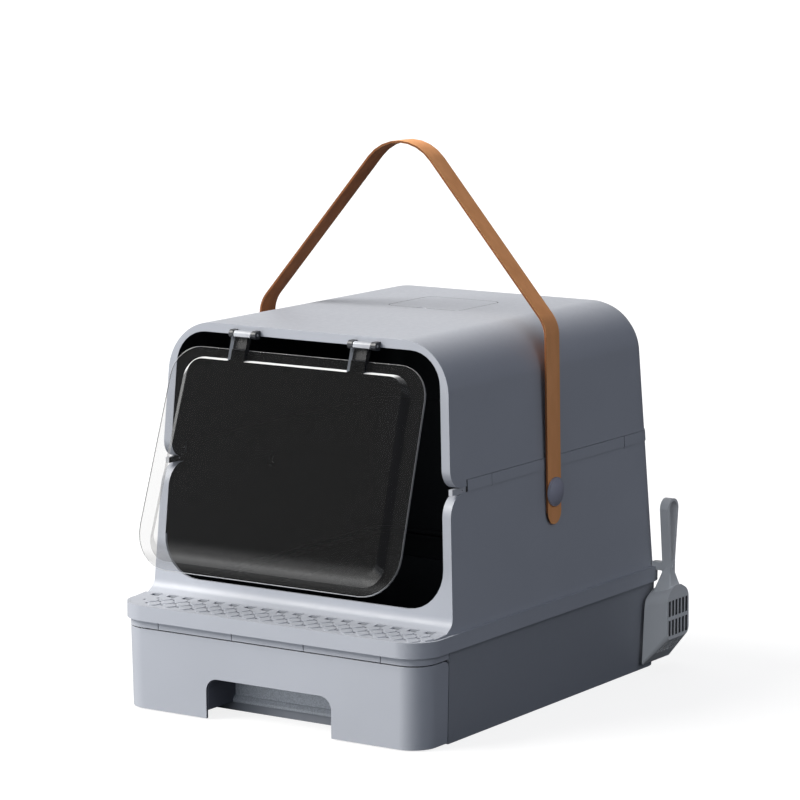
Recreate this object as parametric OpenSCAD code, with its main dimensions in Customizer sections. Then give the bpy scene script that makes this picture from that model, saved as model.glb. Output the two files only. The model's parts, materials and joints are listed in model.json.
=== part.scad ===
// Drawer litter box: a base with a pull-out tray, a rimmed deck with a grated step,
// a two-part hood with a see-through flap, a carrying strap, a filter and a scoop.
// Millimetres. X is the width, the front faces -Y, and Z = 0 is the floor under the base.

/* [Deck] */
// Width over the deck's lip
lip_w = 400; // [360:1:440]
// Depth over the deck's lip, front to back
lip_d = 522; // [490:1:560]
// Height of the lip
lip_h = 17; // [14:0.5:24]
// Radius of the lip's upright corners
lip_r = 36; // [31:1:44]
// Thickness of the deck's walls and top plate
deck_wall = 3; // [2:0.25:4]
// Width of the rim left in front of and beside the grated step
step_rim = 3.5; // [3:0.25:5]
// How far the grate lies below the top of the lip
step_sink = 1; // [0.5:0.25:2]
// Thickness of the grate
grate_t = 2.5; // [2:0.25:4]
// Distance between neighbouring holes along the grate
grate_pitch = 20.9; // [19:0.1:24]
// Distance between the rows of drain holes
grate_row = 10.3; // [9:0.1:12]
// Radius of a drain hole
drain_r = 1.8; // [1:0.1:2.2]
// Length of a litter slot in the rear row
slot_l = 11; // [8:0.5:14]
// Width of a litter slot
slot_w = 7; // [4:0.25:8]
// Height of the raised pads between the drain holes
pad_h = 0.8; // [0.4:0.1:0.9]
// Slope of the grate up towards the hood, in degrees
grate_tilt = 4.4; // [0:0.2:5]

/* [Base] */
// Height of the base, up to the lip
base_h = 100; // [90:1:130]
// How far the base stands in from the lip
base_inset = 5; // [4:0.5:8]
// Radius of the base's upright corners
base_r = 28; // [26:1:34]
// Outward lean of the base walls in degrees
base_lean = 0.9; // [0:0.1:1.4]
// Wall thickness of the base and of the drawer front
base_wall = 3; // [2:0.25:4]
// Thickness of the base floor
base_floor = 3; // [2:0.25:4]
// Height of the guide ribs on the base floor
runner_h = 6.8; // [4:0.2:9]
// Width of a guide rib
runner_w = 5; // [3:0.5:8]
// Height of the front rail between the drawer and the lip
rail_h = 9; // [8:0.5:14]

/* [Drawer] */
// Depth of the drawer front's side returns
return_d = 54; // [48:1:62]
// Height of the drawer front's lower edge above the floor
front_lift = 1.5; // [1:0.25:3]
// Gap around the drawer front
front_gap = 1.4; // [0.8:0.1:2]
// Radius of the upper rear corner of the drawer front's returns
return_r = 8; // [4:0.5:12]
// Wall thickness of the tray
tray_wall = 2.5; // [2:0.25:4]
// Gap between the tray and the base wall on each side
tray_gap = 3.5; // [2.5:0.25:5]
// Radius of the tray's upright corners
tray_r = 24; // [16:1:26]
// Gap between the tray's rim and the rail above it
tray_drop = 2.5; // [1.5:0.25:4]
// Half width of the grip opening
grip_half = 81; // [60:1:95]
// Height of the grip opening above the floor
grip_h = 46; // [38:1:50]
// Depth of the grip recess
grip_d = 50; // [40:1:60]
// Radius of the grip opening's upper corners
grip_r = 14; // [6:1:20]

/* [Hood] */
// Height of the hood above the deck
hood_h = 303; // [280:1:330]
// Height of the parting line above the deck
seam_h = 156.5; // [140:0.5:170]
// Ledge between the lip and the hood's sides at deck level
side_ledge = 5.2; // [3:0.2:8]
// Ledge behind the hood at deck level
rear_ledge = 5; // [4:0.5:10]
// Depth of the step in front of the hood
step_d = 65.5; // [60:0.5:72]
// Lean of the hood's sides in degrees
side_lean = 3.2; // [2:0.1:3.6]
// Lean of the hood's front in degrees
front_lean = 2.9; // [2:0.1:4]
// Lean of the hood's rear in degrees
rear_lean = 2.7; // [2:0.1:4]
// Radius of the roof's edges along the sides
roof_r = 58; // [44:1:62]
// Radius of the roof's rear edge
roof_rear_r = 33; // [26:1:38]
// Radius of the hood's upright rear corners
hood_r = 33; // [28:1:40]
// Wall thickness of the hood
hood_wall = 3; // [2.5:0.25:3.5]
// Width of the frame around the doorway
frame_w = 10.4; // [9:0.2:14]
// Height of the doorway's sill above the deck
sill_h = 20; // [18:0.5:26]
// Radius of the doorway's upper corners
door_top_r = 38; // [34:1:46]
// Radius of the doorway's lower corners
door_low_r = 44; // [34:1:50]
// Radius of the upper shell's front corner at the parting line
notch_up_r = 20; // [12:1:24]
// Radius of the lower shell's front corner at the parting line
notch_low_r = 25; // [16:1:28]
// How far the upper shell's front corners reach below the parting line
tab_drop = 7; // [4:0.5:9]
// Depth of those front corners
tab_d = 32; // [28:1:38]
// Height of the gap between the shells' front corners
clip_gap = 6.5; // [5:0.5:8]
// How far the hood's foot stands in front of its front wall
foot_d = 12.5; // [10:0.5:15]
// Height where the foot's slope meets the front wall
foot_h = 8; // [6:0.5:10]
// Radius of the hollow curve between them
cove_r = 13; // [9:0.5:15]
// Height of the raised band under the parting line
band_h = 12; // [9:0.5:16]
// How far that band stands proud
band_out = 0.9; // [0.4:0.1:1.2]
// Distance of the band's front slit behind the hood's front
slit_front = 81; // [70:1:95]
// Distance of the band's rear slit from the hood's rear
slit_rear = 72; // [60:1:90]

/* [Flap] */
// Half width of the flap at its upper edge
flap_top_half = 163.5; // [150:0.5:164]
// Half width of the flap at its lower edge
flap_low_half = 170; // [158:0.5:171]
// Distance from the hinge line to the flap's lower edge
flap_l = 263; // [240:1:264]
// Distance from the hinge line to the flap's upper edge
flap_drop = 17; // [12:0.5:20]
// Thickness of the flap
flap_t = 2.5; // [2:0.25:3.5]
// Height of the raised panel on the flap
panel_t = 6; // [4:0.5:8]
// Width of the flap's border outside its raised panel
border_w = 26; // [22:0.5:32]
// Width of the panel's sloping sides
slope_w = 8; // [4:0.5:10]
// Width of the panel's sloping lower side
slope_low = 12; // [6:0.5:13]
// Distance from the hinge line to the raised panel
panel_drop = 31; // [27:0.5:36]
// Opening angle of the flap in the rest position, in degrees
flap_open = 18; // [6:1:30]
// Height of the hinge line above the upper edge of the doorway
hinge_up = 1.5; // [1:0.25:4]
// Distance of the hinge line in front of the frame
hinge_out = 5.6; // [5.2:0.1:7]
// Distance of each hinge from the middle
hinge_x = 77; // [60:1:95]
// Radius of the hinge pins
pin_r = 1.5; // [1.2:0.1:2]
// Width of the arms that carry the flap
arm_w = 21; // [16:0.5:25]

/* [Strap] */
// Width of the strap
strap_w = 28; // [22:0.5:32]
// Thickness of the strap
strap_t = 2.4; // [1.8:0.2:3.2]
// Height of the strap's top above the floor
strap_top = 610; // [560:1:640]
// Height of the pivots above the floor
pivot_z = 236; // [210:1:245]
// Distance of the pivots behind the middle of the base
pivot_y = 14.5; // [-10:0.5:40]
// Height where the strap bends inwards
bend_z = 419; // [416:1:440]
// How far the strap reaches below the pivots
strap_tail = 22; // [18:0.5:26]
// Radius of the strap's bend at the top
crown_r = 52; // [30:1:60]
// Radius of the strap's side bends
elbow_r = 34; // [16:1:44]
// Radius of the round buttons
button_r = 16; // [12:0.5:18]
// Thickness of the buttons
button_t = 7.5; // [5:0.5:9]
// Radius of the studs that the strap turns on
stud_r = 4; // [3:0.25:5]
// Gap between the strap and the hood at the pivots
strap_gap = 2; // [1.8:0.1:5]
// Inward lean of the strap's legs, in degrees
strap_lean = 1.2; // [0:0.1:2]

/* [Filter] */
// Width of the filter lid
lid_w = 96; // [80:1:110]
// Depth of the filter lid
lid_d = 92; // [76:1:100]
// Thickness of the filter lid
lid_t = 2; // [1.5:0.1:2.5]
// Distance of the lid's middle behind the middle of the base
lid_y = 92; // [70:1:110]
// Radius of the lid's corners
lid_r = 11; // [6:0.5:16]
// Gap around the lid
lid_gap = 0.6; // [0.4:0.1:1]
// Depth of the filter basket below the roof's inner side
basket_h = 18; // [14:1:26]
// Wall thickness of the filter basket
basket_wall = 1.6; // [1.2:0.1:2.4]
// Thickness of the filter pad
pad_t = 10; // [6:0.5:12]

/* [Scoop] */
// Width of the scoop's bowl
bowl_w = 66; // [58:1:72]
// Width of the slotted face of the bowl
bowl_back = 52; // [44:1:56]
// Length of the scoop's bowl
bowl_l = 91; // [84:1:94]
// Depth of the scoop's bowl
bowl_d = 28; // [21:1:31]
// Wall thickness of the scoop
scoop_wall = 2; // [1.6:0.1:3]
// Overall length of the scoop
scoop_l = 190; // [176:1:205]
// Height of the scoop's front edge above the floor
scoop_z = 7; // [5:0.5:9]
// Distance of the scoop's middle from the lip's rear edge
scoop_in = 27; // [22:1:40]
// Half width of the handle loop at its top
loop_half = 12; // [9:0.5:14]
// Half width of the handle at its neck
neck_half = 5.5; // [5:0.25:7]
// Thickness of the handle's band
loop_t = 3; // [2.5:0.25:4]
// Width of the handle's band
loop_w = 11; // [9:0.5:14]
// Radius of the peg that the scoop hangs on
peg_r = 2.6; // [2:0.1:3]
// Width of the hook that carries the peg
hook_w = 10; // [8:0.5:12]
// Height of the hook
hook_h = 9.5; // [8:0.5:11]

/* [Hidden] */

body_colour = [0.62, 0.64, 0.69];
tray_colour = [0.52, 0.54, 0.58];
dark_colour = [0.25, 0.27, 0.30];
strap_colour = [0.66, 0.43, 0.28];
scoop_colour = [0.66, 0.66, 0.67];

$fn = 48;
round_fn = 32;
arc_steps = 8;
over = 1;
far = lip_w + lip_d;
skin = 0.02;
past = 20;

lip_top = base_h + lip_h;
roof_z = lip_top + hood_h;
seam_z = lip_top + seam_h;
sill_z = lip_top + sill_h;
seam_gap = 0.4;
drawer_top = base_h - rail_h;
run_fit = 0.05;
seat_fit = 0.3;

// Planes of the leaning walls at a height z
function hood_side(z) = lip_w / 2 - side_ledge - (z - lip_top) * tan(side_lean);
function hood_front(z) = -lip_d / 2 + step_d + (z - lip_top) * tan(front_lean);
function hood_rear(z) = lip_d / 2 - rear_ledge - (z - lip_top) * tan(rear_lean);
function base_side(z) = lip_w / 2 - base_inset - (base_h - z) * tan(base_lean);
function base_end(z) = lip_d / 2 - base_inset - (base_h - z) * tan(base_lean);

// An outline whose corners are rounded: each point has its own radius
function unit(v) = v / norm(v);
function turn(a, b) = (b - a + 540) % 360 - 180;
function corner(a, b, c, r) =
    let (u = unit(a - b), v = unit(c - b), half = acos(u * v) / 2,
        m = b + unit(u + v) * r / sin(half),
        p = b + u * r / tan(half) - m, q = b + v * r / tan(half) - m,
        a0 = atan2(p[1], p[0]), sweep = turn(a0, atan2(q[1], q[0])))
    [for (i = [0 : arc_steps]) m + r * [cos(a0 + sweep * i / arc_steps), sin(a0 + sweep * i / arc_steps)]];
function rounded(pts, radii) =
    [for (i = [0 : len(pts) - 1])
        let (n = len(pts))
        each radii[i] > 0 ? corner(pts[(i + n - 1) % n], pts[i], pts[(i + 1) % n], radii[i]) : [pts[i]]];
function box_points(x, y0, y1) = [[-x, y0], [x, y0], [x, y1], [-x, y1]];

module mirrored(side) {
    scale_x = side == "left" ? 1 : 0;
    mirror([scale_x, 0, 0]) children();
}

// Extrudes an outline drawn in Y and Z along X, from -half to half
module along_x(half) {
    rotate([90, 0, 90])
        translate([0, 0, -half])
            linear_extrude(2 * half) children();
}

// Extrudes an outline drawn in X and Z along Y, from y0 to y1
module along_y(y0, y1) {
    translate([0, y1, 0])
        rotate([90, 0, 0])
            linear_extrude(y1 - y0) children();
}

// ---- Base ----

module slab(x, y0, y1, front_r, rear_r, z0, z1) {
    translate([0, 0, z0])
        linear_extrude(z1 - z0)
            polygon(rounded(box_points(x, y0, y1), [front_r, front_r, rear_r, rear_r]));
}

// The base's outer form, t inside its outer face, between two heights
module base_form(t, z0, z1) {
    hull() {
        slab(base_side(z0) - t, t - base_end(z0), base_end(z0) - t, base_r - t, base_r - t, z0, z0 + skin);
        slab(base_side(z1) - t, t - base_end(z1), base_end(z1) - t, base_r - t, base_r - t, z1 - skin, z1);
    }
}

return_y = return_d - base_end(base_h);
tray_half = base_side(0) - base_wall - tray_gap;
tray_front = base_wall + seat_fit - base_end(0);
tray_rear = base_end(0) - base_wall - tray_gap - 2;
tray_z = base_floor + runner_h + 0.2;
tray_top = drawer_top - tray_drop;
runner_x = tray_half - 2 * tray_wall - tray_r - runner_w / 2;
tie_d = 6;

module base_shell() {
    color(body_colour) {
        difference() {
            base_form(0, 0, base_h);
            base_form(base_wall, base_floor, base_h + over);
            translate([-far / 2, -far, -over])
                cube([far, far + return_y, base_h + 2 * over]);
        }
        for (x = [-runner_x, 0, runner_x])
            translate([x - runner_w / 2, return_y, base_floor - skin])
                cube([runner_w, tray_rear - return_y, runner_h + skin]);
        translate([-runner_x, return_y, base_floor - skin])
            cube([2 * runner_x, runner_w, runner_h + skin]);
        translate([skin - base_side(drawer_top) + base_wall - 1, return_y, drawer_top + front_gap / 2])
            cube([2 * (base_side(drawer_top) - base_wall + 1 - skin), tie_d, rail_h - front_gap / 2]);
    }
}

// ---- Drawer ----

module grip_cut(y0, y1, grow) {
    along_y(y0, y1)
        polygon(rounded([[-grip_half - grow, -over - grow], [grip_half + grow, -over - grow],
            [grip_half + grow, grip_h + grow], [-grip_half - grow, grip_h + grow]],
            [0, 0, grip_r + grow, grip_r + grow]));
}

module drawer_tray() {
    grip_back = tray_front + grip_d;
    bar_h = 7;
    bar_d = 5;
    bar_nose = 3;
    bar_top = 1.5;
    color(tray_colour) {
        difference() {
            union() {
                difference() {
                    slab(tray_half, tray_front, tray_rear, tray_r, tray_r, tray_z, tray_top);
                    slab(tray_half - tray_wall, tray_front + tray_wall, tray_rear - tray_wall,
                        tray_r - tray_wall, tray_r - tray_wall, tray_z + tray_wall, tray_top + over);
                }
                intersection() {
                    grip_cut(tray_front + skin, grip_back + tray_wall, tray_wall);
                    slab(tray_half, tray_front, tray_rear, tray_r, tray_r, tray_z, tray_top);
                }
            }
            grip_cut(tray_front - over, grip_back, 0);
        }
        // finger bar with a sloping top, along the foot of the recess
        translate([0, grip_back, tray_z])
            along_x(grip_half + tray_wall / 2)
                polygon([[skin, 0], [-bar_d, 0], [-bar_d, bar_nose], [-bar_top, bar_h], [skin, bar_h]]);
    }
}

module drawer_front() {
    z0 = front_lift;
    z1 = drawer_top - front_gap / 2;
    rear = return_y - front_gap;
    rib_x = tray_half - tray_r - 10;
    color(body_colour) {
        difference() {
            intersection() {
                base_form(0, 0, base_h);
                along_x(far / 2)
                    polygon(rounded([[-far, z0], [rear, z0], [rear, z1], [-far, z1]], [0, 0, return_r, 0]));
            }
            base_form(base_wall, -over, base_h + over);
            grip_cut(-base_end(base_h) - over, -base_end(0) + base_wall + over, 0);
        }
        // ribs that hold the front to the tray
        for (x = [-rib_x, rib_x])
            intersection() {
                translate([x - 3, -far / 2, z0 + 12])
                    cube([6, far / 2 + tray_front, z1 - z0 - 24]);
                base_form(base_wall / 2, 0, base_h);
            }
    }
}

// ---- Deck ----

grate_top = lip_top - step_sink;
grate_low = grate_top - grate_t;
foot_y = hood_front(lip_top) - foot_d;
well_front = -lip_d / 2 + step_rim;
well_rear = foot_y;
well_half = lip_w / 2 - step_rim;
ledge_w = 4;
room_half = hood_side(lip_top) - hood_wall - 14;
room_front = hood_front(lip_top) + hood_wall + 12;
room_rear = hood_rear(lip_top) - hood_wall - 14;
tab_in = 46.6;
tab_out = 144;
slit_w = 1;

module well(inset, z0, z1) {
    slab(well_half - inset, well_front + inset, well_rear - inset, lip_r - step_rim - inset, 1, z0, z1);
}

module deck() {
    rear = lip_d / 2;
    guide_t = 2;
    guide_h = 5;
    plate_z = lip_top - deck_wall;
    guide_x = hood_side(lip_top) - hood_wall - 0.5;
    guide_front = hood_front(lip_top) + hood_wall + 0.8;
    guide_rear = hood_rear(lip_top) - hood_wall - 0.5;
    guide_r = hood_r - hood_wall;
    color(body_colour)
        difference() {
            union() {
                difference() {
                    slab(lip_w / 2, -rear, rear, lip_r, lip_r, base_h, lip_top);
                    slab(lip_w / 2 - deck_wall, deck_wall - rear, rear - deck_wall,
                        lip_r - deck_wall, lip_r - deck_wall, base_h - over, plate_z);
                }
                // wall that stands on the base
                difference() {
                    slab(base_side(base_h), -base_end(base_h), base_end(base_h), base_r, base_r,
                        base_h, lip_top - skin);
                    slab(base_side(base_h) - base_wall, base_wall - base_end(base_h),
                        base_end(base_h) - base_wall, base_r - base_wall, base_r - base_wall,
                        base_h - over, plate_z);
                }
                // front rail over the drawer, which carries on down the front of that wall
                difference() {
                    intersection() {
                        base_form(0, 0, base_h + skin);
                        translate([-far / 2, -far, drawer_top + front_gap / 2])
                            cube([far, far + return_y - front_gap, rail_h]);
                    }
                    base_form(base_wall, -over, base_h + over);
                }
                // guide inside the hood's foot
                slab(guide_x, guide_front, guide_rear, 3, guide_r, lip_top - skin, lip_top + guide_h);
                // shelf under the grate
                well(-1, grate_low - deck_wall, lip_top - skin);
            }
            slab(guide_x - guide_t, guide_front + guide_t, guide_rear - guide_t, 2, guide_r - guide_t,
                lip_top, lip_top + guide_h + over);
            slab(room_half, room_front, room_rear, 20, 30, base_h - over, lip_top + over);
            well(0, grate_low, lip_top + over);
            well(ledge_w, base_h - over, lip_top + over);
            for (x = [-tab_out, -tab_in, tab_in, tab_out])
                translate([x - slit_w / 2, -far / 2, 0])
                    cube([slit_w, far / 2 - base_end(base_h) + base_wall + 1, base_h]);
        }
}

grate_columns = floor((well_half - 4) / grate_pitch) * 2;
slot_row_y = well_rear - slot_w / 2 - 2.5;
drain_rows = floor((slot_row_y - well_front - drain_r - 1) / grate_row);

// Centres of the drain holes, or of the pads between them where shift is half a pitch
function drains(shift) =
    [for (row = [1 : drain_rows], i = [0 : grate_columns - 1])
        let (x = (i - (grate_columns - 1) / 2 - (row % 2) / 2) * grate_pitch)
            if (i > 0 || row % 2 == 0)
                [x + shift, slot_row_y - row * grate_row]];

// Low eight-sided pads between the drain holes
module grate_pads() {
    tip = drain_r + 1.6;
    a = grate_pitch / 2 - tip;
    b = grate_row - tip;
    blunt = 1.3;
    flat = 2;
    z0 = grate_top - skin;
    edge = 1.5;
    intersection() {
        translate([0, 0, z0])
            linear_extrude(pad_h + skin)
                for (c = drains(grate_pitch / 2))
                    translate(c)
                        polygon([[a, blunt], [flat, b], [-flat, b], [-a, blunt],
                            [-a, -blunt], [-flat, -b], [flat, -b], [a, -blunt]]);
        slab(well_half - edge, well_front + edge, slot_row_y - slot_w / 2 - edge,
            lip_r - step_rim - edge, 1, z0 - over, grate_top + over);
    }
}

// Turns what is level up about the grate's lower front edge
module sloped() {
    translate([0, well_front, grate_low])
        rotate([grate_tilt, 0, 0])
            translate([0, -well_front, -grate_low])
                children();
}

module step_grate() {
    rim_t = 2;
    color(body_colour) {
        // skirt that stands on the deck's ledge and carries the sloping plate
        difference() {
            well(seat_fit, grate_low, lip_top + step_d * sin(grate_tilt));
            well(seat_fit + rim_t, grate_low - over, lip_top + step_d);
            sloped()
                translate([-far / 2, -far / 2, grate_low + grate_t / 2])
                    cube(far);
        }
        sloped() grate_plate();
    }
}

// The plate with its pads, litter slots and drain holes, before it is sloped
module grate_plate() {
    lip_t = 1.2;
    slot_x = [for (i = [0 : grate_columns - 1])
        (i - (grate_columns - 1) / 2) * grate_pitch - slot_l / 2];
    difference() {
        union() {
            well(seat_fit, grate_low, grate_top);
            grate_pads();
            // low lips behind the litter slots
            for (x = slot_x)
                translate([x, slot_row_y + slot_w / 2, grate_top - skin])
                    cube([slot_l, lip_t, pad_h + skin]);
        }
        for (x = slot_x)
            translate([x, slot_row_y - slot_w / 2, grate_low - over])
                cube([slot_l, slot_w, grate_t + 2 * over]);
        for (c = drains(0))
            translate([c[0], c[1], grate_low - over])
                cylinder(r = drain_r, h = grate_t + 2 * over, $fn = 16);
    }
}

// ---- Hood ----

module lie_along_y() {
    rotate([-90, 0, 0]) children();
}

// The plan of the hood's foot, t inside its outer face
module hood_foot(t) {
    hull()
        for (s = [-1, 1]) {
            translate([s * (hood_side(lip_top) - hood_r), hood_rear(lip_top) - hood_r, lip_top])
                cylinder(r = hood_r - t, h = skin, $fn = round_fn);
            translate([s * (hood_side(lip_top) - t) - 0.5, foot_y - past, lip_top])
                cube([1, 1, skin]);
        }
}

// The rounded edges of the roof, t inside its outer face
module hood_roof(t) {
    mid_z = roof_z - roof_r;
    mid_x = hood_side(mid_z) - roof_r / cos(side_lean);
    ring = roof_r - roof_rear_r;
    mid_y = hood_rear(mid_z) - roof_rear_r / cos(rear_lean);
    lean = tan(rear_lean);
    hull()
        for (s = [-1, 1]) {
            translate([s * mid_x, mid_y, mid_z])
                multmatrix([[1, 0, 0, 0], [0, 1, -lean, 0], [0, 0, 1, 0]])
                    lie_along_y()
                        rotate_extrude($fn = round_fn * 2)
                            translate([ring, 0])
                                intersection() {
                                    circle(r = roof_rear_r - t, $fn = round_fn);
                                    translate([-ring, -roof_rear_r])
                                        square([2 * roof_r, 2 * roof_rear_r]);
                                }
            translate([s * mid_x, foot_y - past, mid_z])
                lie_along_y() cylinder(r = roof_r - t, h = 1, $fn = round_fn * 2);
        }
}

// The hood's closed form, t inside its outer face
module hood_form(t) {
    hull() {
        hood_foot(t);
        hood_roof(t);
    }
}

// The hood's leaning walls between two heights, t inside their outer face
function hood_corner(z) = hood_r + (roof_rear_r - hood_r) * (z - lip_top) / (hood_h - roof_r);

module hood_walls(t, z0, z1) {
    hull()
        for (z = [z0, z1 - skin])
            slab(hood_side(z) - t, foot_y - past, hood_rear(z) - t, 0, hood_corner(z) - t, z, z + skin);
}

// The shells' front corners part below the parting line, with the clips in the gap between them
groove_w = 0.9;
tab_z = seam_z + seam_gap - tab_drop;
step_z = tab_z - clip_gap;
tab_y = hood_front(seam_z) + tab_d;

// Everything behind the lower shell's front face, t behind it
module lower_front(t) {
    toe = 1.5;
    z0 = lip_top;
    low = step_z - t;
    along_x(far / 2)
        polygon(rounded([[far, z0 - 3 * over], [foot_y + t, z0 - 3 * over], [foot_y + t, z0 + toe - t],
            [hood_front(z0 + toe + foot_h) + t, z0 + toe + foot_h - t], [hood_front(low) + t, low],
            [tab_y + groove_w / 2, low], [tab_y + groove_w / 2, seam_z - t], [far, seam_z - t]],
            [0, 0, 0, cove_r + t, notch_low_r - t, 0, 0, 0]));
}

// Everything behind the upper shell's front face, t behind it
module upper_front(t) {
    low = seam_z + seam_gap + t;
    corner_z = tab_z + t;
    high = roof_z + past;
    along_x(far / 2)
        polygon(rounded([[far, low], [tab_y - groove_w / 2, low], [tab_y - groove_w / 2, corner_z],
            [hood_front(corner_z) + t, corner_z], [hood_front(high) + t, high], [far, high]],
            [0, 0, 0, notch_up_r - t, 0, 0]));
}

door_top_z = roof_z - frame_w;

// The doorway through the frame, grown by a margin
module doorway(grow) {
    low = sill_z - grow;
    high = door_top_z + grow;
    behind = hood_front(seam_z) + max(notch_low_r, notch_up_r) + 2 * over;
    along_y(foot_y - past, max(behind, hood_front(roof_z) + past / 2))
        polygon(rounded([[frame_w - grow - hood_side(low), low], [hood_side(low) - frame_w + grow, low],
            [hood_side(high) - frame_w + grow, high], [frame_w - grow - hood_side(high), high]],
            [door_low_r, door_low_r, door_top_r, door_top_r]));
}

module pivot_bore(r) {
    translate([-far / 2, pivot_y, pivot_z])
        rotate([0, 90, 0])
            cylinder(r = r, h = far);
}

// Upright slits that divide the band into its snap tongues
module band_slits() {
    for (y = [hood_front(seam_z) + slit_front, hood_rear(seam_z) - slit_rear], s = [-1, 1])
        translate([s * (hood_side(seam_z) + band_out + 0.2) - groove_w, y - groove_w / 2,
            seam_z - band_h - 2])
            cube([2 * groove_w, groove_w, band_h + 2 + over]);
}

module lower_hood() {
    tongue_t = 2;
    tongue_h = 7;
    root_h = 6;
    tongue_x = hood_side(seam_z + tongue_h) - hood_wall - seat_fit;
    tongue_y = hood_rear(seam_z + tongue_h) - hood_wall - seat_fit;
    tongue_front = tab_y + tongue_h / 2;
    tongue_r = roof_rear_r - hood_wall;
    color(body_colour)
        difference() {
            union() {
                difference() {
                    intersection() {
                        union() {
                            hood_walls(0, lip_top, seam_z);
                            hood_walls(-band_out, seam_z - band_h, seam_z);
                        }
                        lower_front(0);
                    }
                    intersection() {
                        hood_walls(hood_wall, lip_top - over, seam_z + over);
                        union() {
                            intersection() {
                                lower_front(hood_wall);
                                translate([-far / 2, -far / 2, lip_top - 2 * over])
                                    cube([far, far, seam_h - hood_wall + 2 * over]);
                            }
                            translate([-far / 2, hood_front(step_z) + notch_low_r, lip_top])
                                cube([far, far, far]);
                        }
                    }
                }
                // tongue that locates the upper shell, with its root inside the lower shell's wall
                slab(tongue_x, tongue_front, tongue_y, 0, tongue_r, seam_z - root_h, seam_z + tongue_h);
                slab(tongue_x + hood_wall / 2, tongue_front, tongue_y + hood_wall / 2, 0, tongue_r,
                    seam_z - root_h, seam_z - root_h / 3);
            }
            slab(tongue_x - tongue_t, tongue_front - over, tongue_y - tongue_t, 0, tongue_r - tongue_t,
                seam_z - root_h - over, seam_z + tongue_h + over);
            doorway(0);
            band_slits();
            pivot_bore(stud_r + seat_fit / 3);
        }
}

hole_half = lid_w / 2 - 6;
hole_deep = lid_d / 2 - 6;
ledge_z = roof_z - lid_t - 0.2;
rim_low = roof_z - hood_wall - 3;

module lid_plate(grow, z0, z1) {
    translate([0, lid_y, z0])
        linear_extrude(z1 - z0)
            polygon(rounded(box_points(lid_w / 2 + grow, -lid_d / 2 - grow, lid_d / 2 + grow),
                [for (i = [1 : 4]) lid_r + min(grow, 0)]));
}

module upper_hood() {
    color(body_colour)
        difference() {
            intersection() {
                union() {
                    difference() {
                        hood_form(0);
                        intersection() {
                            hood_form(hood_wall);
                            upper_front(hood_wall);
                        }
                        intersection() {
                            hood_form(hood_wall);
                            translate([-far / 2, hood_front(tab_z) + notch_up_r, lip_top])
                                cube([far, far, seam_h + 2 * hood_wall]);
                        }
                    }
                    // thicker roof around the filter's hole
                    lid_plate(4, rim_low, roof_z - hood_wall / 2);
                }
                upper_front(0);
            }
            doorway(0);
            lid_plate(lid_gap, ledge_z, roof_z + over);
            lid_plate(-6, rim_low - over, roof_z + over);
        }
}

// A block in the gap between the shells' front corners, with a hole for its snap
module seam_clip(side) {
    hole_r = 1.2;
    fit = 0.1;
    x0 = hood_side(tab_z) - hood_wall - 2;
    y0 = hood_front(step_z) + 5;
    y1 = tab_y - groove_w / 2 - 1;
    mirrored(side)
        color(scoop_colour)
            difference() {
                translate([x0, y0, step_z + fit])
                    cube([hood_wall + 1.6, y1 - y0, clip_gap - 2 * fit]);
                translate([x0 - over, y1 - 7, step_z + clip_gap / 2])
                    rotate([0, 90, 0])
                        cylinder(r = hole_r, h = far / 10, $fn = 24);
            }
}

// ---- Flap and hinges ----

hinge_z = door_top_z + hinge_up;
hinge_y = hood_front(hinge_z) - hinge_out;
barrel_r = 4;
barrel_w = arm_w + 1;
ear_t = 6.5;
ear_gap = 0.4;
pin_l = barrel_w + 2 * (ear_gap + ear_t);

// Turns a flap drawn hanging straight down from the hinge line to its rest angle
module hang() {
    translate([0, hinge_y, hinge_z])
        rotate([-flap_open, 0, 0])
            children();
}

module flap_outline(half_top, half_low, top, low, top_r, low_r) {
    polygon(rounded([[-half_low, -low], [half_low, -low], [half_top, -top], [-half_top, -top]],
        [low_r, low_r, top_r, top_r]));
}

// The flap's raised panel with its sloping sides, from its face at y back to the flap's own face
module flap_panel(y, back) {
    low_half = flap_low_half - border_w;
    top_half = flap_top_half - border_w;
    low = flap_l - border_w + 4;
    panel_r = 17;
    slope_top = 3;
    hull() {
        along_y(y, y + skin)
            flap_outline(top_half, low_half, panel_drop, low, panel_r, panel_r);
        along_y(y + panel_t, back)
            flap_outline(top_half + slope_w, low_half + slope_w, panel_drop - slope_top, low + slope_low,
                panel_r + slope_w, panel_r + slope_w);
    }
}

module flap_door() {
    face = -flap_t / 2;
    color([0.2, 0.2, 0.21, 0.5])
        hang() {
            difference() {
                union() {
                    along_y(face, -face)
                        flap_outline(flap_top_half, flap_low_half, flap_drop, flap_l, 36, 45);
                    flap_panel(face - panel_t, face + skin);
                }
                flap_panel(face - panel_t + flap_t, -face + over);
            }
            for (x = [-hinge_x, hinge_x])
                difference() {
                    union() {
                        translate([x - arm_w / 2, -flap_t / 2 - panel_t, -panel_drop - skin])
                            cube([arm_w, panel_t, panel_drop - barrel_r]);
                        translate([x - arm_w / 2, -flap_t / 2 - panel_t, -barrel_r * 2])
                            cube([arm_w, panel_t + flap_t / 2, barrel_r]);
                        translate([x - barrel_w / 2, 0, 0])
                            rotate([0, 90, 0]) cylinder(r = barrel_r, h = barrel_w);
                        translate([x - arm_w / 2, -barrel_r, -barrel_r * 2])
                            cube([arm_w, barrel_r, barrel_r * 2]);
                    }
                    translate([x - barrel_w, 0, 0])
                        rotate([0, 90, 0]) cylinder(r = pin_r + run_fit, h = 2 * barrel_w);
                }
        }
}

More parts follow.
